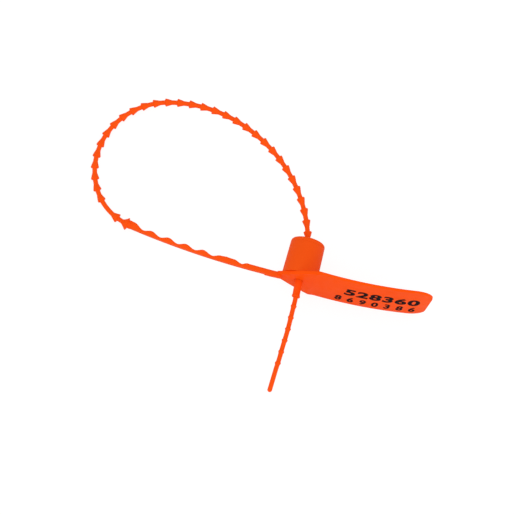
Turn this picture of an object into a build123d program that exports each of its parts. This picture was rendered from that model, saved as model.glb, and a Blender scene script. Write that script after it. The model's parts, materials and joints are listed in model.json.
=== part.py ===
"""Pull-tight security seal for a lidded tote, closed into a loop and lying at rest.

X runs along the flag, Y along the lock's bore towards the mouth that the strap
enters, and Z up. The origin is on the long edge that the flag stands on, in the
flag's mid-plane, beside the lock. Lengths are in millimetres.
"""
from build123d import *
from math import asin, atan2, cos, degrees, radians, sin, tan
import os

os.makedirs("parts", exist_ok=True)

# ---- Flag: the printed plate that stands on its long edge ----
FLAG_WIDTH = 23.0
BORE_OFFSET = 6.0           # origin to the bore axis, along the flag
FLAG_REACH = 44.0           # bore axis to the free end
FLAG_TAIL = 7.5             # bore axis to the narrow end, where the grip strap leaves
FLAG_THICKNESS = 0.9
FLAG_BEND_RADIUS = 175.0    # the free end curls gently towards the bore's mouth
PAD_REACH = 7.0             # the plate is thicker and flat under the lock, to here
PAD_STEP = 0.3
TAIL_HEIGHT = 2.4           # the narrow end's height
LOWER_BELLY = 5.0           # the long edges start this far past the bore
UPPER_BELLY = 5.2
BELLY_BULGE = 0.4           # the edges between are slightly bowed
LOWER_CORNER = 5.1
UPPER_CORNER = 6.6

# ---- Lock barrel, its cap and the jaw collar inside it ----
BARREL_LENGTH = 13.0        # flag's mid-plane to the cap's outer face
BARREL_BASE_RADIUS = 6.0
BARREL_DRAFT = 1.35         # degrees a side
BARREL_WALL = 1.0           # at the mouth, round the collar
BARREL_LEDGE = 0.75         # step that the collar rests on
CAP_THICKNESS = 1.5
CAP_ROUNDING = 1.15
CAP_SPIGOT = 0.5
MOUTH_RADIUS = 2.85
THROAT_RADIUS = 2.35
COLLAR_THICKNESS = 0.9
COLLAR_FIT = 0.05           # radial gap round the collar and the cap's spigot

# ---- Strap: stem, barbs, stop and pull tail ----
STEM_RADIUS = 0.68
BARB_RADIUS = 1.38
BARB_NOSE = 2.4             # length of the cone in front of the widest ring
BARB_BACK = 0.35            # length of the steep face behind it
BARB_ROUNDING = 0.16
RING_ROOT_DEPTH = 0.07      # barbs and bumps start this far inside the stem
BARB_PITCH = 4.06
SEATED_BARB = 0.25          # the widest ring of the barb that the jaws hold
LOCK_BARBS = 4              # barbs inside the lock and at its mouth
LOOP_BARBS = 31
BARBS_PER_PIECE = 4
SPLIT_BEHIND_BARB = 1.0     # a stretch of strap ends this far behind its last barb
NECK_RADIUS = 1.22          # thick plain stretch that leaves the lock
NECK_RIM_RADIUS = 1.36
NECK_RIM_LENGTH = 0.8
NECK_LENGTH = 4.5
TAIL_RADIUS = 0.76
TAIL_BUMP_RADIUS = 1.0
TAIL_BUMP_NOSE = 0.78       # bump's widest ring to its end towards the tip
TAIL_BUMP_BACK = 0.52
TAIL_BUMPS = 6
TAIL_BUMP_GAP = 3.2         # thick stretch to the first bump
TAIL_PLAIN_END = 10.3       # last bump to the tip
STOP_RADIUS = 2.2
STOP_NOSE = 1.8
STOP_BACK = 0.45
STOP_NECK_RADIUS = 1.2      # root of the stop, where the grip strap meets it
STOP_NECK_LENGTH = 0.9

# The loop is a row of arcs, each going on from the last: (radius, degrees).
# Their proportions are drawn here, and the strap's length sets their size.
STRAIGHT_IN_LOCK = 8.8
STRAP_BENDS = [(26.0, 19.0), (51.0, 53.5), (43.0, 31.0), (24.5, 111.0), (19.5, 47.0)]

# ---- Grip strap between the flag and the stop ----
GRIP_HEIGHT = 2.0
GRIP_DROP = 1.3             # flag's mid-plane to the smooth outer face
GRIP_THICKNESS = 0.8        # in the hollows between the waves
GRIP_HEEL_THICKNESS = 1.5   # smooth stretch beside the flag
GRIP_END_THICKNESS = 1.95   # where it meets the stop
GRIP_END_LENGTH = 1.7
GRIP_HEEL_LENGTH = 10.2
GRIP_HEEL_FALL = 1.9        # heel to the shallow hollow after it
GRIP_HEEL_HOLLOW = 0.95     # thickness in that hollow
GRIP_WAVES = 5
GRIP_WAVE_PITCH = 6.15
GRIP_WAVE_FALL = 3.4        # crest to the hollow on the stop's side
GRIP_WAVE_RISE = 0.85
GRIP_WAVE_START = 19.4      # flag's narrow end to the first crest
GRIP_FIRST_LENGTH = 4.6     # the first wave is a long one
GRIP_HINGE_GAP = 0.45
GRIP_END_GAP = 0.55         # left open for the strap's travel

# ---- Jaws ----
JAWS = 4
JAW_START = 45.0            # degrees from +X to the middle of the first jaw
JAW_SPREAD = 70.0           # degrees of the circle that one jaw covers
JAW_TIP_RADIUS = 0.9
JAW_TIP_THICKNESS = 0.9
JAW_TIP_LAND = 0.5          # straight inner face at the tip
JAW_ROOT_RADIUS = 2.75
JAW_ROOT_THICKNESS = 0.8
JAW_SEAT_GAP = 0.5          # free play between the jaw tips and the barb's back
JAW_ROOT_GAP = 0.3
BORE_CLEARANCE = 0.27       # round the barbs in the exit hole
REST_CLEARANCE = 0.03       # lowest barb to the surface

# ---- Places that follow from the sizes ----
bore_height = FLAG_WIDTH / 2
bore_x = -BORE_OFFSET
bore_origin = (bore_x, 0, bore_height)
bore_axis = Axis(bore_origin, (0, 1, 0))
flag_back = FLAG_THICKNESS / 2
flag_front = -FLAG_THICKNESS / 2
cap_seat = BARREL_LENGTH - CAP_THICKNESS
collar_top = cap_seat - CAP_SPIGOT
collar_seat = collar_top - COLLAR_THICKNESS
draft_slope = tan(radians(BARREL_DRAFT))


def barrel_radius(y):
    """Outer radius of the lock at a height above the flag's back face."""
    return BARREL_BASE_RADIUS - draft_slope * (y - flag_back)


socket_radius = barrel_radius(cap_seat) - BARREL_WALL
chamber_radius = socket_radius - BARREL_LEDGE
fitted_radius = socket_radius - COLLAR_FIT


def barb_place(number):
    """Distance along the strap of a barb's widest ring, counted from the seated one.

    Distance is zero at the flag's mid-plane and grows out of the mouth.
    """
    return SEATED_BARB + number * BARB_PITCH


# One barb is left out before the last one, which stands in front of the stop.
after_loop_barbs = LOCK_BARBS + LOOP_BARBS
end_barb = after_loop_barbs + 1
stop_place = barb_place(end_barb + 1)
stop_finish = stop_place + STOP_BACK + STOP_NECK_LENGTH
drawn_length = sum(radius * radians(turn) for radius, turn in STRAP_BENDS)
loop_scale = (stop_finish - STRAIGHT_IN_LOCK) / drawn_length
strap_bends = [(radius * loop_scale, turn) for radius, turn in STRAP_BENDS]


def strap_place(distance):
    """In-plane point and heading (degrees) at a distance along the strap.

    Heading is zero along the bore and turns towards the grip strap.
    """
    if distance <= STRAIGHT_IN_LOCK:
        return 0.0, distance, 0.0
    u, v, heading, done = 0.0, STRAIGHT_IN_LOCK, 0.0, STRAIGHT_IN_LOCK
    for radius, turn in strap_bends:
        swept = min(degrees((distance - done) / radius), turn)
        before = radians(heading)
        after = radians(heading + swept)
        u += radius * (cos(after) - cos(before))
        v += radius * (sin(after) - sin(before))
        heading += swept
        if swept < turn:
            break
        done += radius * radians(turn)
    return u, v, heading


def split_behind(number):
    """Distance along the strap where the stretch that ends with a barb stops."""
    return barb_place(number) + SPLIT_BEHIND_BARB


def bend_limits():
    """Start and end distance of each bend, with its radius."""
    start = STRAIGHT_IN_LOCK
    for radius, turn in strap_bends:
        end = start + radius * radians(turn)
        yield start, end, radius
        start = end


loop_samples = [strap_place(step)[0] for step in range(int(stop_finish))]
loop_reach = -min(loop_samples)
# The strap droops from the lock until its far end lies on the surface.
droop_drop = bore_height - BARB_RADIUS - REST_CLEARANCE
loop_tilt = degrees(asin(droop_drop / loop_reach))
tilt_cos = cos(radians(loop_tilt))
tilt_sin = sin(radians(loop_tilt))
loop_across = (tilt_cos, 0, tilt_sin)
loop_plane = Plane(origin=bore_origin, x_dir=loop_across, z_dir=(-tilt_sin, 0, tilt_cos))


def in_space(u, v):
    """A point of the loop's plane in the part's frame."""
    return Vector(bore_x + u * tilt_cos, v, bore_height + u * tilt_sin)


def strap_section(distance):
    """Plane through the strap's axis: local x across the strap, local y along it."""
    u, v, heading = strap_place(distance)
    turn = radians(heading)
    across = (cos(turn) * tilt_cos, sin(turn), cos(turn) * tilt_sin)
    return Plane(origin=in_space(u, v), x_dir=across, z_dir=loop_plane.z_dir)


def strap_line(start, end):
    """Draw the strap's centre line between two distances, in the current BuildLine."""
    if start < STRAIGHT_IN_LOCK:
        Line((0, start), (0, min(end, STRAIGHT_IN_LOCK)))
    for bend_start, bend_end, radius in bend_limits():
        first = max(start, bend_start)
        last = min(end, bend_end)
        if last - first > 0.001:
            u, v, heading = strap_place(first)
            tangent = (-sin(radians(heading)), cos(radians(heading)))
            JernArc((u, v), tangent, radius, degrees((last - first) / radius))


def turned_ring(distance, profile, rounding):
    """Add a body turned about the strap's axis to the current part.

    profile lists (radius, distance along the strap) from the nose to the back, and
    its widest corner is rounded.
    """
    section = strap_section(distance)
    with BuildSketch(section) as ring:
        with BuildLine():
            Polyline((0, profile[0][1]), *profile, (0, profile[-1][1]), close=True)
        make_face()
        fillet(ring.vertices().sort_by(Axis.X)[-1], radius=rounding)
    revolve(ring.sketch, axis=Axis(section.origin, section.y_dir))


def barb(number):
    """Add one barb, its nose towards the lock's exit."""
    root = STEM_RADIUS - RING_ROOT_DEPTH
    outline = [(root, -BARB_NOSE), (BARB_RADIUS, 0), (root, BARB_BACK)]
    turned_ring(barb_place(number), outline, BARB_ROUNDING)


def strap_stem(start, end):
    """Add the strap's round stem between two distances to the current part."""
    with BuildLine(loop_plane) as line:
        strap_line(start, end)
    with BuildSketch(Plane(origin=line.wire() @ 0, z_dir=line.wire() % 0)) as stem:
        Circle(STEM_RADIUS)
    sweep(stem.sketch, path=line.wire())


def export(part, name):
    part.label = name
    export_step(part, f"parts/{name}.step")


# ---- Flag ----
bend_turn = degrees(asin((FLAG_REACH - PAD_REACH) / FLAG_BEND_RADIUS))
front_bend = FLAG_BEND_RADIUS + FLAG_THICKNESS / 2
back_bend = FLAG_BEND_RADIUS - FLAG_THICKNESS / 2
grip_root = in_space(-FLAG_TAIL / tilt_cos, 0)
tail_low = grip_root.Z - TAIL_HEIGHT / 2
tail_high = grip_root.Z + TAIL_HEIGHT / 2
with BuildPart() as flag:
    with BuildSketch(Plane(origin=(bore_x, 0, 0))):
        with BuildLine():
            front = JernArc((PAD_REACH, flag_front), (1, 0), front_bend, bend_turn)
            back = JernArc((PAD_REACH, flag_back), (1, 0), back_bend, bend_turn)
            Line(front @ 1, back @ 1)
            Polyline(
                back @ 0,
                (-FLAG_TAIL, flag_back),
                (-FLAG_TAIL, flag_front - PAD_STEP),
                (PAD_REACH, flag_front - PAD_STEP),
                front @ 0,
            )
        make_face()
    extrude(amount=FLAG_WIDTH)
    with BuildSketch(Plane(origin=(bore_x, 0, 0), x_dir=(1, 0, 0), z_dir=(0, -1, 0))) as outline:
        with BuildLine():
            lower = SagittaArc((-FLAG_TAIL, tail_low), (LOWER_BELLY, 0), -BELLY_BULGE)
            upper = SagittaArc((UPPER_BELLY, FLAG_WIDTH), (-FLAG_TAIL, tail_high), -BELLY_BULGE)
            Polyline(lower @ 1, (FLAG_REACH, 0), (FLAG_REACH, FLAG_WIDTH), upper @ 0)
            Line(upper @ 1, lower @ 0)
        make_face()
        lower_corner = outline.vertices().group_by(Axis.Y)[0].sort_by(Axis.X)[-1]
        fillet(lower_corner, radius=LOWER_CORNER)
        upper_corner = outline.vertices().group_by(Axis.Y)[-1].sort_by(Axis.X)[-1]
        fillet(upper_corner, radius=UPPER_CORNER)
    extrude(amount=FLAG_REACH, both=True, mode=Mode.INTERSECT)
    with BuildSketch(Plane(origin=bore_origin, z_dir=(0, 1, 0))):
        Circle(BARB_RADIUS + BORE_CLEARANCE)
    extrude(amount=BARREL_LENGTH, both=True, mode=Mode.SUBTRACT)
export(flag.part, "flag")

# ---- Lock barrel ----
bore_section = Plane(origin=bore_origin, x_dir=(1, 0, 0), z_dir=(0, 0, 1))
with BuildPart() as lock_barrel:
    with BuildSketch(bore_section):
        with BuildLine():
            Polyline(
                (chamber_radius, flag_back),
                (barrel_radius(flag_back), flag_back),
                (barrel_radius(cap_seat), cap_seat),
                (socket_radius, cap_seat),
                (socket_radius, collar_seat),
                (chamber_radius, collar_seat),
                close=True,
            )
        make_face()
    revolve(axis=bore_axis)
export(lock_barrel.part, "lock_barrel")

# ---- Cap that closes the barrel and guides the strap in ----
with BuildPart() as barrel_cap:
    with BuildSketch(bore_section) as cap_profile:
        with BuildLine():
            Polyline(
                (THROAT_RADIUS, collar_top),
                (fitted_radius, collar_top),
                (fitted_radius, cap_seat),
                (barrel_radius(cap_seat), cap_seat),
                (barrel_radius(BARREL_LENGTH), BARREL_LENGTH),
                (MOUTH_RADIUS, BARREL_LENGTH),
                close=True,
            )
        make_face()
        rim = cap_profile.vertices().group_by(Axis.Y)[-1].sort_by(Axis.X)[-1]
        fillet(rim, radius=CAP_ROUNDING)
    revolve(axis=bore_axis)
export(barrel_cap.part, "barrel_cap")

# ---- Jaw collar, held between the barrel's ledge and the cap ----
with BuildPart() as jaw_collar:
    with BuildSketch(bore_section):
        with BuildLine():
            Polyline(
                (JAW_ROOT_RADIUS, collar_seat),
                (fitted_radius, collar_seat),
                (fitted_radius, collar_top),
                (JAW_ROOT_RADIUS, collar_top),
                close=True,
            )
        make_face()
    revolve(axis=bore_axis)
export(jaw_collar.part, "jaw_collar")

# ---- Jaws: spring fingers that lean in behind the seated barb ----
jaw_tip = SEATED_BARB + BARB_BACK + JAW_SEAT_GAP
jaw_root = collar_seat - JAW_ROOT_GAP
for jaw_number in range(JAWS):
    start_angle = radians(JAW_START + 360 * jaw_number / JAWS + JAW_SPREAD / 2)
    jaw_out = (cos(start_angle), 0, sin(start_angle))
    jaw_side = (-sin(start_angle), 0, cos(start_angle))
    jaw_section = Plane(origin=bore_origin, x_dir=jaw_out, z_dir=jaw_side)
    with BuildPart() as jaw:
        with BuildSketch(jaw_section):
            with BuildLine():
                Polyline(
                    (JAW_TIP_RADIUS, jaw_tip),
                    (JAW_TIP_RADIUS + JAW_TIP_THICKNESS, jaw_tip),
                    (JAW_ROOT_RADIUS + JAW_ROOT_THICKNESS, jaw_root),
                    (JAW_ROOT_RADIUS, jaw_root),
                    (JAW_TIP_RADIUS, jaw_tip + JAW_TIP_LAND),
                    close=True,
                )
            make_face()
        revolve(axis=bore_axis, revolution_arc=JAW_SPREAD)
    export(jaw.part, f"jaw_{jaw_number + 1}")

# ---- Strap inside the lock and round the loop ----
neck_end = SEATED_BARB - BARB_NOSE
with BuildPart() as strap_in_lock:
    strap_stem(neck_end, split_behind(LOCK_BARBS - 1))
    for number in range(LOCK_BARBS):
        barb(number)
export(strap_in_lock.part, "strap_in_lock")

first_barbs = range(LOCK_BARBS, after_loop_barbs, BARBS_PER_PIECE)
for piece_number, first in enumerate(first_barbs, start=1):
    after_last = min(first + BARBS_PER_PIECE, after_loop_barbs)
    with BuildPart() as strap_piece:
        strap_stem(split_behind(first - 1), split_behind(after_last - 1))
        for number in range(first, after_last):
            barb(number)
    export(strap_piece.part, f"strap_loop_{piece_number}")

with BuildPart() as strap_loop_end:
    strap_stem(split_behind(after_loop_barbs - 1), split_behind(end_barb))
    barb(end_barb)
export(strap_loop_end.part, "strap_loop_end")

# ---- Stop at the end of the barbs ----
with BuildPart() as strap_stop:
    strap_stem(split_behind(end_barb), stop_place)
    stop_outline = [
        (STEM_RADIUS, -STOP_NOSE),
        (STOP_RADIUS, 0),
        (STOP_NECK_RADIUS, STOP_BACK),
        (STOP_NECK_RADIUS, STOP_BACK + STOP_NECK_LENGTH),
    ]
    turned_ring(stop_place, stop_outline, BARB_ROUNDING)
export(strap_stop.part, "strap_stop")

# ---- Thick plain stretch that leaves the lock, and the pull tail ----
neck_start = neck_end - NECK_LENGTH
with BuildPart() as strap_collar:
    with BuildSketch(strap_section(neck_start)) as neck_profile:
        with BuildLine():
            Polyline(
                (0, 0),
                (NECK_RIM_RADIUS, 0),
                (NECK_RIM_RADIUS, NECK_RIM_LENGTH / 2),
                (NECK_RADIUS, NECK_RIM_LENGTH),
                (NECK_RADIUS, NECK_LENGTH),
                (0, NECK_LENGTH),
                close=True,
            )
        make_face()
    revolve(axis=bore_axis)
export(strap_collar.part, "strap_collar")

first_bump = neck_start - TAIL_BUMP_GAP
last_bump = first_bump - (TAIL_BUMPS - 1) * BARB_PITCH
tail_tip = last_bump - TAIL_PLAIN_END
with BuildPart() as pull_tail:
    with BuildSketch(strap_section(tail_tip)) as tail_profile:
        with BuildLine():
            dome = JernArc((0, 0), (1, 0), TAIL_RADIUS, 90)
            tail_length = neck_start - tail_tip
            Polyline(dome @ 1, (TAIL_RADIUS, tail_length), (0, tail_length), dome @ 0)
        make_face()
    revolve(axis=bore_axis)
    bump_root = TAIL_RADIUS - RING_ROOT_DEPTH
    bump = [(bump_root, -TAIL_BUMP_NOSE), (TAIL_BUMP_RADIUS, 0), (bump_root, TAIL_BUMP_BACK)]
    for number in range(TAIL_BUMPS):
        turned_ring(first_bump - number * BARB_PITCH, bump, BARB_ROUNDING)
export(pull_tail.part, "pull_tail")

# ---- Grip strap: smooth outside, waves inside ----
stop_section = strap_section(stop_finish)
stop_edge = stop_section.origin + stop_section.x_dir * (GRIP_END_THICKNESS / 2)
stop_outer = loop_plane.to_local_coords(stop_edge)
grip_start = Vector(-FLAG_TAIL / tilt_cos, -GRIP_DROP)
grip_run = grip_start.X - stop_outer.X
grip_rise = stop_outer.Y - grip_start.Y
grip_radius = (grip_run ** 2 + grip_rise ** 2) / (2 * grip_rise)
grip_length = grip_radius * 2 * atan2(grip_rise, grip_run)


def grip_point(distance, thickness):
    """Point on the grip strap, from the flag, at a thickness above its outer face."""
    angle = distance / grip_radius
    reach = grip_radius - thickness
    return grip_start.X - reach * sin(angle), grip_start.Y + grip_radius - reach * cos(angle)


crest = GRIP_THICKNESS + GRIP_WAVE_RISE
grip_end = grip_length - GRIP_END_GAP
wave_points = [
    grip_point(GRIP_HEEL_LENGTH, GRIP_HEEL_THICKNESS),
    grip_point(GRIP_HEEL_LENGTH + GRIP_HEEL_FALL, GRIP_HEEL_HOLLOW),
    grip_point(GRIP_WAVE_START - GRIP_FIRST_LENGTH, crest),
]
for number in range(GRIP_WAVES):
    crest_place = GRIP_WAVE_START + number * GRIP_WAVE_PITCH
    wave_points.append(grip_point(crest_place, crest))
    wave_points.append(grip_point(crest_place + GRIP_WAVE_FALL, GRIP_THICKNESS))
wave_points.append(grip_point(grip_end - GRIP_END_LENGTH, GRIP_END_THICKNESS))
wave_points.append(grip_point(grip_end, GRIP_END_THICKNESS))
with BuildPart() as grip_strap:
    with BuildSketch(loop_plane):
        with BuildLine():
            outer_start = grip_point(GRIP_HINGE_GAP, 0)
            outer_middle = grip_point(grip_length / 2, 0)
            outer_end = grip_point(grip_end, 0)
            outer_face = ThreePointArc(outer_start, outer_middle, outer_end)
            waves = Spline(wave_points)
            heel_start = grip_point(GRIP_HINGE_GAP, GRIP_HEEL_THICKNESS)
            heel_middle = grip_point(GRIP_HEEL_LENGTH / 2, GRIP_HEEL_THICKNESS)
            heel = ThreePointArc(heel_start, heel_middle, wave_points[0])
            Line(outer_face @ 0, heel @ 0)
            Line(outer_face @ 1, waves @ 1)
        make_face()
    extrude(amount=GRIP_HEIGHT / 2, both=True)
export(grip_strap.part, "grip_strap")

grip_heading = 270 - degrees(grip_length / grip_radius)
print(f"droop {loop_tilt:.2f} degrees, loop scale {loop_scale:.4f}, stop at {stop_place:.1f}")
print(f"grip radius {grip_radius:.1f}, length {grip_length:.1f}, ends at {stop_outer}")
print(f"headings: stop {strap_place(stop_finish)[2]:.1f}, grip {grip_heading:.1f}")
print(f"barrel bores {socket_radius:.2f} and {chamber_radius:.2f}")
print(f"jaws from {jaw_tip:.2f} to {jaw_root:.2f}, pull tail tip at {tail_tip:.1f}")
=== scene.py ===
import json
from math import atan2, cos, pi, radians, sin, sqrt

import bmesh
import bpy
import numpy as np
from mathutils import Matrix, Vector


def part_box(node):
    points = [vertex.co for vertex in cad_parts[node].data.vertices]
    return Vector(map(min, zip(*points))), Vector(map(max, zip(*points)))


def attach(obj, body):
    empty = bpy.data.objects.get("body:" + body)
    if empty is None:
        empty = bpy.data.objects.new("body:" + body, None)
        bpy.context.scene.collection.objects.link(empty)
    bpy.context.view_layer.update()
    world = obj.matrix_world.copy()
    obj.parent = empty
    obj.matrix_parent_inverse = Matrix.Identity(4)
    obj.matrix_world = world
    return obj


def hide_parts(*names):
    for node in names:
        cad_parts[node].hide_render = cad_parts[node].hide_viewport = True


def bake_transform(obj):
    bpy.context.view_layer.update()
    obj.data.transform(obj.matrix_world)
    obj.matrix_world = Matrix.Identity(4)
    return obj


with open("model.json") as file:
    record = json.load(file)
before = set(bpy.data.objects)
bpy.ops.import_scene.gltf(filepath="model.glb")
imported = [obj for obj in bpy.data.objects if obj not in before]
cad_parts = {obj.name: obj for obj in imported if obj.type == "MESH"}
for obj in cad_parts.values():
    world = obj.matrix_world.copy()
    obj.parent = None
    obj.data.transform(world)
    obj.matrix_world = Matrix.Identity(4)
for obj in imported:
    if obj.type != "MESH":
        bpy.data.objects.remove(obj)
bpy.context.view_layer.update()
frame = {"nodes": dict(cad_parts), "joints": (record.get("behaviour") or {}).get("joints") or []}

MM = 0.001
scene = bpy.context.scene

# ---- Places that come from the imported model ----
low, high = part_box("lock_barrel")
BORE_X = (low.x + high.x) / 2
BORE_Z = (low.z + high.z) / 2
BARREL_FOOT = low.y
BARREL_TOP = high.y
CAP_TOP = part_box("barrel_cap")[1].y
grip_hinge = next(joint for joint in frame["joints"] if joint["name"] == "grip_bend")
loop_normal = Vector(grip_hinge["axis"]).normalized()
loop_across = Vector((loop_normal.z, 0.0, -loop_normal.x))

# ---- Sizes of the strap, as in the part, in millimetres ----
STEM = 0.68
TAIL_RADIUS = 0.76
NECK_RADIUS = 1.22
BARB_PITCH = 4.06
FIRST_BARB = 0.25
BARBS = 35
TAIL_BUMPS = 6
STRAIGHT = 8.8
LOOP_SCALE = 1.0004             # the part fits the drawn bends to the strap's length with this
# Each bend is (radius, degrees), from the lock on.
BENDS = [(26.0, 19.0), (51.0, 53.5), (43.0, 31.0), (24.5, 111.0), (19.5, 47.0)]
LAST_BARB = FIRST_BARB + (BARBS - 1) * BARB_PITCH
END_BARB = FIRST_BARB + (BARBS + 1) * BARB_PITCH
STOP = END_BARB + BARB_PITCH
STOP_FINISH = STOP + 1.35
NECK_END = FIRST_BARB - 2.4
NECK_START = NECK_END - 4.5
FIRST_BUMP = NECK_START - 3.2
TAIL_TIP = FIRST_BUMP - (TAIL_BUMPS - 1) * BARB_PITCH - 10.3

# ---- Sizes of the flag, as in the part, in millimetres ----
FLAG_TAIL = 7.5
PAD_REACH = 7.0
PAD_STEP = 0.3
HALF_THICKNESS = 0.45
FLAG_BEND = 175.0


# ---- Materials ----
def moulded(name, colour, deep, roughness, grain, gloss_level):
    """Moulded plastic: slow colour drift, faint flow lines, fine pebbled skin and worn patches."""
    mat = bpy.data.materials.new(name)
    mat.use_nodes = True
    nodes, links = mat.node_tree.nodes, mat.node_tree.links
    shader = nodes["Principled BSDF"]
    place = nodes.new("ShaderNodeTexCoord")
    drift = nodes.new("ShaderNodeTexNoise")
    drift.inputs["Scale"].default_value = 55.0
    drift.inputs["Detail"].default_value = 3.0
    links.new(place.outputs["Object"], drift.inputs["Vector"])
    tint = nodes.new("ShaderNodeValToRGB")
    tint.color_ramp.elements[0].position = 0.32
    tint.color_ramp.elements[0].color = (*deep, 1)
    tint.color_ramp.elements[1].position = 0.72
    tint.color_ramp.elements[1].color = (*colour, 1)
    links.new(drift.outputs["Fac"], tint.inputs["Fac"])
    links.new(tint.outputs["Color"], shader.inputs["Base Color"])
    scuff = nodes.new("ShaderNodeTexNoise")
    scuff.inputs["Scale"].default_value = 240.0
    scuff.inputs["Detail"].default_value = 6.0
    scuff.inputs["Roughness"].default_value = 0.7
    links.new(place.outputs["Object"], scuff.inputs["Vector"])
    gloss = nodes.new("ShaderNodeMapRange")
    gloss.inputs["From Min"].default_value = 0.3
    gloss.inputs["From Max"].default_value = 0.7
    gloss.inputs["To Min"].default_value = roughness - 0.07
    gloss.inputs["To Max"].default_value = roughness + 0.09
    links.new(scuff.outputs["Fac"], gloss.inputs["Value"])
    links.new(gloss.outputs["Result"], shader.inputs["Roughness"])
    skin = nodes.new("ShaderNodeTexNoise")
    skin.inputs["Scale"].default_value = 2600.0
    skin.inputs["Detail"].default_value = 2.0
    links.new(place.outputs["Object"], skin.inputs["Vector"])
    flow = nodes.new("ShaderNodeTexNoise")
    flow.inputs["Scale"].default_value = 130.0
    flow.inputs["Distortion"].default_value = 1.4
    links.new(place.outputs["Object"], flow.inputs["Vector"])
    fine = nodes.new("ShaderNodeBump")
    fine.inputs["Strength"].default_value = grain
    fine.inputs["Distance"].default_value = 0.00003
    links.new(skin.outputs["Fac"], fine.inputs["Height"])
    broad = nodes.new("ShaderNodeBump")
    broad.inputs["Strength"].default_value = 0.2
    broad.inputs["Distance"].default_value = 0.00025
    links.new(flow.outputs["Fac"], broad.inputs["Height"])
    links.new(fine.outputs["Normal"], broad.inputs["Normal"])
    links.new(broad.outputs["Normal"], shader.inputs["Normal"])
    shader.inputs["Specular IOR Level"].default_value = gloss_level
    return mat


flag_skin = moulded("orange_flag", (0.93, 0.081, 0.002), (0.89, 0.075, 0.002), 0.46, 0.18, 0.025)
lock_skin = moulded("orange_lock", (0.84, 0.081, 0.004), (0.80, 0.075, 0.003), 0.48, 0.22, 0.05)
strap_skin = moulded("orange_strap", (0.91, 0.083, 0.003), (0.86, 0.077, 0.002), 0.46, 0.15, 0.06)
insert_skin = moulded("natural_insert", (0.74, 0.72, 0.64), (0.68, 0.66, 0.58), 0.30, 0.10, 0.5)
ink = moulded("print_ink", (0.004, 0.003, 0.006), (0.007, 0.004, 0.004), 0.6, 0.30, 0.02)

for name in ("jaw_collar", "jaw_1", "jaw_2", "jaw_3", "jaw_4"):
    node = frame["nodes"][name]
    node.data.materials.clear()
    node.data.materials.append(insert_skin)


# ---- Mesh helpers ----
def solid(name, rings, material, closed=False, sharp=40):
    """A skin through rings of points, each ring as long as the next, capped unless it closes on itself."""
    count = len(rings[0])
    points = [tuple(p) for ring in rings for p in ring]
    faces = []
    spans = len(rings) if closed else len(rings) - 1
    for i in range(spans):
        a, b = i * count, ((i + 1) % len(rings)) * count
        for j in range(count):
            k = (j + 1) % count
            faces.append((a + j, b + j, b + k, a + k))
    if not closed:
        faces.append(tuple(range(count)))
        faces.append(tuple(reversed(range((len(rings) - 1) * count, len(rings) * count))))
    mesh = bpy.data.meshes.new(name)
    mesh.from_pydata(points, [], faces)
    mesh.validate()
    obj = bpy.data.objects.new(name, mesh)
    scene.collection.objects.link(obj)
    outward(obj)
    soften(obj, sharp)
    mesh.materials.append(material)
    return obj


def outward(obj):
    """Turn every face outwards."""
    work = bmesh.new()
    work.from_mesh(obj.data)
    bmesh.ops.recalc_face_normals(work, faces=work.faces)
    work.to_mesh(obj.data)
    work.free()


def soften(obj, sharp):
    """Smooth shading, with edges past an angle left crisp."""
    obj.data.polygons.foreach_set("use_smooth", [True] * len(obj.data.polygons))
    obj.data.set_sharp_from_angle(angle=radians(sharp))


def turned(name, profile, material, steps=96, sharp=35):
    """A body turned about the bore from (radius, y) pairs in millimetres, closed on itself."""
    rings = []
    for i in range(steps):
        a = 2 * pi * i / steps
        rings.append([(BORE_X + r * MM * cos(a), y * MM, BORE_Z + r * MM * sin(a)) for r, y in profile])
    return solid(name, rings, material, closed=True, sharp=sharp)


def rounded(corner, before, after, radius, steps=6):
    """Points of a rounded corner between two neighbours, in a profile."""
    c, a, b = np.array(corner, float), np.array(before, float), np.array(after, float)
    u, w = (a - c) / np.linalg.norm(a - c), (b - c) / np.linalg.norm(b - c)
    start, end = c + u * radius, c + w * radius
    out = []
    for i in range(steps + 1):
        t = i / steps
        out.append(tuple((1 - t) ** 2 * start + 2 * t * (1 - t) * c + t * t * end))
    return out


def smooth_step(t):
    """Ease from 0 to 1, flat at both ends and past them."""
    t = min(1.0, max(0.0, t))
    return t * t * (3 - 2 * t)


def through(points, at):
    """Height at a place, easing from each (place, height) to the next."""
    for (s0, h0), (s1, h1) in zip(points, points[1:]):
        if at <= s1:
            return h0 + (h1 - h0) * smooth_step((at - s0) / (s1 - s0))
    return points[-1][1]


# ---- The strap's line ----
def strap_place(distance):
    """In-plane point (mm) and heading (radians) at a distance along the strap."""
    if distance <= STRAIGHT:
        return 0.0, distance, 0.0
    u, v, heading, done = 0.0, STRAIGHT, 0.0, STRAIGHT
    for drawn, turn in BENDS:
        radius = drawn * LOOP_SCALE
        swept = min((distance - done) / radius, radians(turn))
        u += radius * (cos(heading + swept) - cos(heading))
        v += radius * (sin(heading + swept) - sin(heading))
        heading += swept
        if swept < radians(turn):
            break
        done += radius * radians(turn)
    return u, v, heading


def in_space(u, v, out=0.0):
    """A point (mm) of the loop's plane, moved along its normal, in the scene."""
    return Vector((BORE_X, 0, BORE_Z)) + (loop_across * u + Vector((0, v, 0)) + loop_normal * out) * MM


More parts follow.
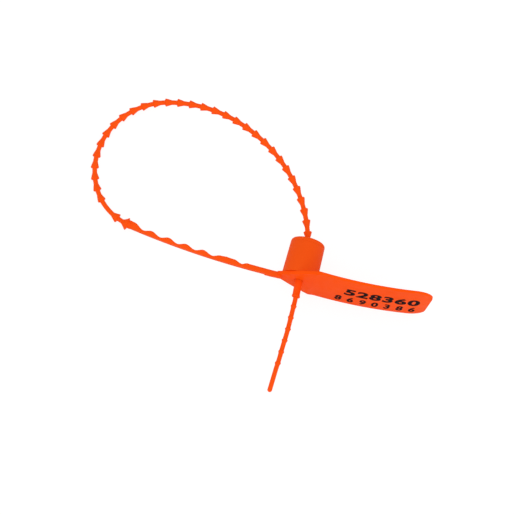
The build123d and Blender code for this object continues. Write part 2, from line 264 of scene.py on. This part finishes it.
# ---- Strap, with its barbs, stop, thick stretch and pull tail, in one skin ----
# Each shape is (distance from the feature's own place, radius).
BUMP_SHAPE = [(-2.0, TAIL_RADIUS), (-0.85, TAIL_RADIUS), (-0.72, 0.775), (-0.45, 0.85), (-0.15, 0.95),
              (-0.03, 0.985), (0.07, 0.975), (0.22, 0.90), (0.42, 0.79), (0.5, TAIL_RADIUS)]
NECK_SHAPE = [(-1.2, TAIL_RADIUS), (-0.06, TAIL_RADIUS), (-0.01, 0.82), (0.0, 1.24), (0.06, 1.33),
              (0.16, 1.355), (0.5, 1.355), (0.72, 1.27), (0.85, NECK_RADIUS), (2.2, NECK_RADIUS)]
BARB_SHAPE = [(-2.1, 0.70), (-1.7, 0.83), (-1.0, 1.055), (-0.45, 1.235), (-0.18, 1.315), (-0.06, 1.345),
              (0.02, 1.335), (0.09, 1.27), (0.27, 0.80), (0.33, 0.715), (0.42, STEM)]
STOP_SHAPE = [(-2.0, STEM), (-1.78, 0.73), (-1.3, 1.07), (-0.75, 1.52), (-0.3, 1.92), (-0.12, 2.07),
              (-0.03, 2.11), (0.05, 2.08), (0.12, 1.96), (0.36, 1.36), (0.44, 1.23), (0.55, 1.2)]
NECK_INTO_BARB = 0.9            # the first barb's nose is hidden in the thick stretch up to here
END_BARB_SHIFT = 0.25           # the last barb is wider than the rest, and nearer the stop
END_BARB_WIDER = 1.36
FULLER_STEM = 0.10              # the photographed loop is this much fuller between its barbs
FULLER_RIM = 0.02
FULLER_UNDER = 1.5              # radius at which only the rim's share is left
FULLER_FROM = 13.0              # it starts at the lock's mouth, and is whole 2 mm on
FULLER_OVER = 2.0
PARTING_LINE = 0.018            # the mould's seam, down both sides
# The pull tail's slight bow, as (distance, shift).
BOW = [(TAIL_TIP, -0.15), (-34.0, 0.05), (-27.0, 0.35), (-18.0, 0.62), (-9.0, 0.55), (-2.4, 0.22),
       (-0.6, 0.0)]


def placed_at(place, shape):
    """The rings of a shape, at its place along the strap."""
    return [(place + offset, radius) for offset, radius in shape]


def ring_list():
    """(distance, radius) of every ring, from the tail's tip to the stop."""
    rings = []
    for a in np.linspace(0, pi / 2, 7):
        rings.append((TAIL_TIP + TAIL_RADIUS * (1 - cos(a)), max(0.02, TAIL_RADIUS * sin(a))))
    for i in reversed(range(TAIL_BUMPS)):
        rings += placed_at(FIRST_BUMP - i * BARB_PITCH, BUMP_SHAPE)
    rings += placed_at(NECK_START, NECK_SHAPE)
    rings += [(NECK_END, NECK_RADIUS), (FIRST_BARB - 1.0, NECK_RADIUS)]
    rings += placed_at(FIRST_BARB, [(o, r) for o, r in BARB_SHAPE if o > -NECK_INTO_BARB])
    for i in range(BARBS):
        barb = FIRST_BARB + i * BARB_PITCH
        if i > 0:
            rings += placed_at(barb, BARB_SHAPE)
        rings += placed_at(barb, [(0.9, STEM), (1.4, STEM)])
    rings += placed_at(LAST_BARB, [(o, STEM) for o in (2.2, 3.0, 3.8, 4.6, 5.4)])
    wide_barb = [(o, STEM + (r - STEM) * END_BARB_WIDER) for o, r in BARB_SHAPE]
    rings += placed_at(END_BARB + END_BARB_SHIFT, wide_barb)
    rings += placed_at(STOP, STOP_SHAPE)
    rings += [(STOP_FINISH - 0.2, 1.2), (STOP_FINISH, 1.17)]
    return rings


def fuller(distance, radius):
    """Extra radius outside the lock, most at the stem and least at a barb's rim."""
    extra = max(FULLER_RIM, FULLER_STEM * (FULLER_UNDER - radius) / (FULLER_UNDER - STEM))
    return extra * smooth_step((distance - FULLER_FROM) / FULLER_OVER)


SIDES = 28
strap_rings = []
for s, r in ring_list():
    u, v, heading = strap_place(s)
    u += through(BOW, s)
    r += fuller(s, r)
    ring = []
    for j in range(SIDES):
        a = 2 * pi * j / SIDES
        reach = r + (PARTING_LINE if j in (0, SIDES // 2) and r > 0.6 else 0.0)
        side = reach * cos(a)
        ring.append(in_space(u + side * cos(heading), v + side * sin(heading), reach * sin(a)))
    strap_rings.append(ring)
strap = solid("barbed_strap_skin", strap_rings, strap_skin, sharp=48)
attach(strap, "strap")
strap_nodes = ["pull_tail", "strap_collar", "strap_in_lock", "strap_loop_end", "strap_stop"]
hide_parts(*strap_nodes, *[f"strap_loop_{i}" for i in range(1, 9)])

# ---- Flag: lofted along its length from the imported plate's own outline ----
flag_mesh = frame["nodes"]["flag"].data
flag_points = np.array([v.co for v in flag_mesh.vertices], float)
flag_edges = np.array([e.vertices for e in flag_mesh.edges], int)
flag_low, flag_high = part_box("flag")


def flag_slice(x):
    """Lowest and highest z, and front and back y, of the plate at a place along it."""
    a, b = flag_points[flag_edges[:, 0]], flag_points[flag_edges[:, 1]]
    cross = (a[:, 0] - x) * (b[:, 0] - x) <= 0
    a, b = a[cross], b[cross]
    run = b[:, 0] - a[:, 0]
    t = np.where(np.abs(run) > 1e-9, (x - a[:, 0]) / np.where(np.abs(run) > 1e-9, run, 1), 0)
    p = a + (b - a) * t[:, None]
    return p[:, 2].min(), p[:, 2].max(), p[:, 1].min(), p[:, 1].max()


EDGE = 0.26 * MM                # rounding of the plate's edges
CORNERS = 8 * MM                # the free end's rounded corners lie within this
TIP = 1.2 * MM                  # the last stretch, with closer slices
PAD_EASE = 2.4 * MM             # the thicker pad round the lock fades out over this
EXIT_HOLE = 1.4 * MM            # closer round the strap than in the part, as photographed
pad_end = BORE_X + PAD_REACH * MM
stations = list(np.arange(flag_low.x + 0.02 * MM, pad_end - 0.5 * MM, 0.5 * MM))
stations += list(np.arange(pad_end, flag_high.x - CORNERS, 0.8 * MM))
stations += list(np.linspace(flag_high.x - CORNERS, flag_high.x - TIP, 24))
stations += [flag_high.x - TIP * (1 - sin(a)) for a in np.linspace(0.12, pi / 2, 12)]
flag_rings = []
for x in stations:
    z0, z1, y0, y1 = flag_slice(min(x, flag_high.x - 0.04 * MM))
    away = flag_high.x - x
    shrink = 0.0
    if away < EDGE:
        shrink = EDGE - sqrt(max(0.0, EDGE ** 2 - (EDGE - away) ** 2))
    if x < pad_end + 0.1 * MM:
        y0 = -(HALF_THICKNESS + PAD_STEP * smooth_step((pad_end - x) / PAD_EASE)) * MM
    y0, y1, z0, z1 = y0 + shrink * 0.9, y1 - shrink * 0.9, z0 + shrink, z1 - shrink
    half = min(EDGE, (y1 - y0) / 2 * 0.95)
    ring = []
    corners = ((y1 - half, z1 - half), (y0 + half, z1 - half), (y0 + half, z0 + half), (y1 - half, z0 + half))
    for start, (cy, cz) in enumerate(corners):
        for k in range(5):
            a = (start + k / 4) * pi / 2
            ring.append((x, cy + half * cos(a), cz + half * sin(a)))
    flag_rings.append(ring)
flag = solid("flag_plate", flag_rings, flag_skin, sharp=50)

hole_rings = []
turns = np.linspace(0, 2 * pi, 48, False)
for y in (-3 * MM, 3 * MM):
    hole_rings.append([(BORE_X + EXIT_HOLE * cos(a), y, BORE_Z + EXIT_HOLE * sin(a)) for a in turns])
hole = solid("exit_hole_cutter", hole_rings, flag_skin)
cut = flag.modifiers.new("exit_hole", "BOOLEAN")
cut.operation = "DIFFERENCE"
cut.solver = "EXACT"
cut.object = hole
bpy.context.view_layer.update()
bored = flag.evaluated_get(bpy.context.evaluated_depsgraph_get())
bored_mesh = bpy.data.meshes.new_from_object(bored)
flag.modifiers.clear()
flag.data = bored_mesh
bpy.data.objects.remove(hole)
soften(flag, 50)
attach(flag, "root")
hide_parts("flag")

# ---- Lock: tapered barrel, and the cap with its mouth, with a fine groove where they meet ----
CHAMBER = 3.99                  # radius of the bore that the jaws stand in
CAP_SEAT = 4.74                 # radius of the bore that takes the collar and the cap's spigot
CAP_SEAT_DEPTH = 1.5
foot, seat = BARREL_FOOT / MM, BARREL_TOP / MM
outer_foot = (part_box("lock_barrel")[1].x - BORE_X) / MM
outer_cap = (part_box("barrel_cap")[1].x - BORE_X) / MM
barrel_profile = [(CHAMBER, foot), (outer_foot, foot), (outer_foot - 0.01, foot + 0.3)]
for t in (0.1, 0.3, 0.5, 0.7, 0.9):
    barrel_profile.append((outer_foot + (outer_cap - outer_foot) * t, foot + (seat - foot) * t))
barrel_profile += rounded((outer_cap, seat), (outer_cap, seat - 1), (outer_cap - 1, seat), 0.06, 3)
barrel_profile += [(CAP_SEAT, seat), (CAP_SEAT, seat - CAP_SEAT_DEPTH), (CHAMBER, seat - CAP_SEAT_DEPTH)]
barrel_profile += [(CHAMBER, (foot + seat) / 2)]
barrel = turned("lock_barrel_shell", barrel_profile, lock_skin)
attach(barrel, "root")
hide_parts("lock_barrel")

SPIGOT = 4.68                   # radius of the ring that plugs the cap into its seat
SPIGOT_DEPTH = 0.5
THROAT = 2.35                   # radii of the cap's opening, inside and near its face
MOUTH = 2.6
CROWN_ROUNDING = 1.05
top = CAP_TOP / MM
crown = outer_cap - 0.03
cap_profile = [(THROAT, seat - SPIGOT_DEPTH), (SPIGOT, seat - SPIGOT_DEPTH), (SPIGOT, seat + 0.01)]
cap_profile += [(outer_cap - 0.07, seat + 0.01), (outer_cap - 0.015, seat + 0.05)]
cap_profile += [(outer_cap - 0.01, seat + 0.2)]
cap_profile += rounded((crown, top), (outer_cap, seat + 0.2), (4.0, top), CROWN_ROUNDING, 9)
cap_profile += [(3.6, top)]
cap_profile += rounded((MOUTH + 0.25, top), (3.6, top), (MOUTH, seat + 0.9), 0.3, 5)
cap_profile += [(MOUTH, seat + 0.6)]
cap = turned("lock_cap", cap_profile, lock_skin)
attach(cap, "root")
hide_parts("barrel_cap")

# ---- Grip strap: smooth outside, waves inside, joined to the flag and the stop ----
tilt_cos = loop_normal.z
GRIP_HALF = 1.0
GRIP_DROP = 1.3                 # its outside starts this far below the flag's middle
STRAP_LINE = 0.975              # the strap's middle, in from the grip's outside
u_end, v_end, h_end = strap_place(STOP_FINISH)
end_u, end_v = u_end + STRAP_LINE * cos(h_end), v_end + STRAP_LINE * sin(h_end)
start_u, start_v = -FLAG_TAIL / tilt_cos, -GRIP_DROP
run, rise = start_u - end_u, end_v - start_v
grip_radius = (run ** 2 + rise ** 2) / (2 * rise)
grip_length = grip_radius * 2 * atan2(rise, run)
FIRST_VALLEY = 22.2
WAVE_PITCH = 6.15
VALLEYS = 5
VALLEY_TO_CREST = 3.4
# Thickness along the grip, easing from each (distance, thickness) to the next.
WAVES = [(-2.5, 1.45), (0.0, 1.62), (9.6, 1.72), (10.2, 1.8), (10.4, 1.72), (12.0, 1.05), (14.8, 1.86),
         (17.2, 1.92), (17.5, 2.02), (17.8, 1.9), (19.6, 1.74)]
for i in range(VALLEYS - 1):
    valley = FIRST_VALLEY + WAVE_PITCH * i
    WAVES += [(valley, 0.84), (valley + VALLEY_TO_CREST, 1.8)]
WAVES += [(FIRST_VALLEY + WAVE_PITCH * (VALLEYS - 1), 0.95)]
WAVES += [(grip_length - 0.9, 2.35), (grip_length + 1.2, 2.45)]
# Ledge on the outside, beside the flag, as (distance, height).
LEDGE = [(-2.5, 0.12), (-0.5, 0.22), (2.2, 0.26), (3.7, 0.24), (4.3, 0.0), (60.0, 0.0)]
grip_rings = []
for s in np.concatenate([np.arange(-1.6, 20, 0.28), np.arange(20, grip_length + 1.05, 0.34)]):
    angle = s / grip_radius
    t = through(WAVES, s)
    ledge = through(LEDGE, s)
    corner = min(0.34, t * 0.45)
    ring = []
    inner, outer, edge = t - corner, -ledge + corner, GRIP_HALF - corner
    for start, (ct, ch) in enumerate(((inner, edge), (outer, edge), (outer, -edge), (inner, -edge))):
        for k in range(5):
            a = (start + k / 4) * pi / 2
            thick, out = ct + corner * cos(a), ch + corner * sin(a)
            reach = grip_radius - thick
            along, across = start_u - reach * sin(angle), start_v + grip_radius - reach * cos(angle)
            ring.append(in_space(along, across, out))
    grip_rings.append(ring)
grip = solid("grip_band", grip_rings, strap_skin, sharp=50)
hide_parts("grip_strap")
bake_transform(grip)


# ---- Print on the flag: plain numerals that follow its curve ----
def printed(name, text, first_x, pitch, centre_z, size, widen, weight):
    """A row of numerals laid on the flag's front face, one at a time, in one mesh."""
    points, faces = [], []
    for number, character in enumerate(text):
        curve = bpy.data.curves.new(name, "FONT")
        curve.body = character
        curve.size = size * MM
        curve.offset = weight * MM
        curve.resolution_u = 6
        curve.align_x = "CENTER"
        holder = bpy.data.objects.new(name, curve)
        scene.collection.objects.link(holder)
        bpy.context.view_layer.update()
        mesh = bpy.data.meshes.new_from_object(holder.evaluated_get(bpy.context.evaluated_depsgraph_get()))
        heights = [v.co.y for v in mesh.vertices]
        middle = (min(heights) + max(heights)) / 2
        base = len(points)
        for v in mesh.vertices:
            points.append((first_x + number * pitch * MM + v.co.x * widen, centre_z + v.co.y - middle))
        faces += [tuple(base + i for i in p.vertices) for p in mesh.polygons]
        bpy.data.objects.remove(holder)
    placed = [(x, flag_front(x) - 0.02 * MM, z) for x, z in points]
    mesh = bpy.data.meshes.new(name)
    mesh.from_pydata(placed, [], faces)
    mesh.validate()
    obj = bpy.data.objects.new(name, mesh)
    scene.collection.objects.link(obj)
    mesh.materials.append(ink)
    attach(obj, "root")
    return obj


def flag_front(x):
    """Front face's y at a place along the plate, past the pad."""
    bend = FLAG_BEND * MM
    reach = bend + HALF_THICKNESS * MM
    return bend - sqrt(reach ** 2 - (x - pad_end) ** 2)


printed("print_upper_row", "528360", first_x=11.55 * MM, pitch=4.26, centre_z=12.1 * MM,
        size=7.9, widen=0.96, weight=0.34)
printed("print_lower_row", "8690386", first_x=8.65 * MM, pitch=4.15, centre_z=4.7 * MM,
        size=6.0, widen=0.72, weight=0.25)

# ---- Floor, light and camera ----
floor_mesh = bpy.data.meshes.new("floor")
floor_mesh.from_pydata([(-3, -3, 0), (3, -3, 0), (3, 3, 0), (-3, 3, 0)], [], [(0, 1, 2, 3)])
floor = bpy.data.objects.new("floor", floor_mesh)
scene.collection.objects.link(floor)
paper = bpy.data.materials.new("pale_floor")
paper.use_nodes = True
nodes, links = paper.node_tree.nodes, paper.node_tree.links
for node in list(nodes):
    nodes.remove(node)
output = nodes.new("ShaderNodeOutputMaterial")
matte = nodes.new("ShaderNodeBsdfDiffuse")
matte.inputs["Color"].default_value = (0.16, 0.16, 0.16, 1)
bounce = nodes.new("ShaderNodeBsdfDiffuse")
bounce.inputs["Color"].default_value = (0.86, 0.86, 0.86, 1)
glow = nodes.new("ShaderNodeEmission")
glow.inputs["Color"].default_value = (1, 1, 1, 1)
glow.inputs["Strength"].default_value = 0.87
both = nodes.new("ShaderNodeAddShader")
seen = nodes.new("ShaderNodeLightPath")
choose = nodes.new("ShaderNodeMixShader")
links.new(matte.outputs[0], both.inputs[0])
links.new(glow.outputs[0], both.inputs[1])
links.new(seen.outputs["Is Camera Ray"], choose.inputs[0])
links.new(bounce.outputs[0], choose.inputs[1])
links.new(both.outputs[0], choose.inputs[2])
links.new(choose.outputs[0], output.inputs["Surface"])
floor_mesh.materials.append(paper)

world = bpy.data.worlds.new("studio")
scene.world = world
world.use_nodes = True
nodes, links = world.node_tree.nodes, world.node_tree.links
seen = nodes.new("ShaderNodeLightPath")
shade = nodes.new("ShaderNodeMixRGB")
shade.inputs["Color1"].default_value = (0.78, 0.78, 0.78, 1)
shade.inputs["Color2"].default_value = (1.0, 1.0, 1.0, 1)
links.new(seen.outputs["Is Camera Ray"], shade.inputs["Fac"])
links.new(shade.outputs["Color"], nodes["Background"].inputs["Color"])
nodes["Background"].inputs["Strength"].default_value = 1.0


def lamp(name, place, size, power):
    """A soft square lamp that looks at the seal."""
    light = bpy.data.lights.new(name, "AREA")
    light.size = size
    light.energy = power
    obj = bpy.data.objects.new(name, light)
    obj.location = place
    aim = Vector((-0.02, 0.005, 0.01)) - Vector(place)
    obj.rotation_euler = aim.to_track_quat("-Z", "Y").to_euler()
    scene.collection.objects.link(obj)


lamp("overhead", (-0.25, -0.1, 0.9), size=0.7, power=1.8)
lamp("front", (0.3, -0.9, 0.5), size=0.6, power=2.2)
lamp("left", (-0.8, 0.1, 0.35), size=0.5, power=0.7)
lamp("right", (0.8, 0.1, 0.35), size=0.5, power=1.1)

# The camera stands at the photograph's angle, and these are its own directions in the scene.
RIGHT = Vector((0.95976, 0.242828, 0.141054))
DOWN = Vector((0.27519, -0.913358, -0.30008))
AHEAD = Vector((0.055965, 0.326822, -0.943428))
camera_data = bpy.data.cameras.new("camera")
camera_data.sensor_width = 36.0
camera_data.lens = 199.88437
camera_data.clip_start = 0.01
camera_data.clip_end = 20.0
camera = bpy.data.objects.new("camera", camera_data)
turn = Matrix((RIGHT, -DOWN, -AHEAD)).transposed()
camera.matrix_world = Matrix.Translation((-0.073909, -0.305539, 0.902086)) @ turn.to_4x4()
scene.collection.objects.link(camera)
scene.camera = camera
scene.view_settings.view_transform = "Standard"
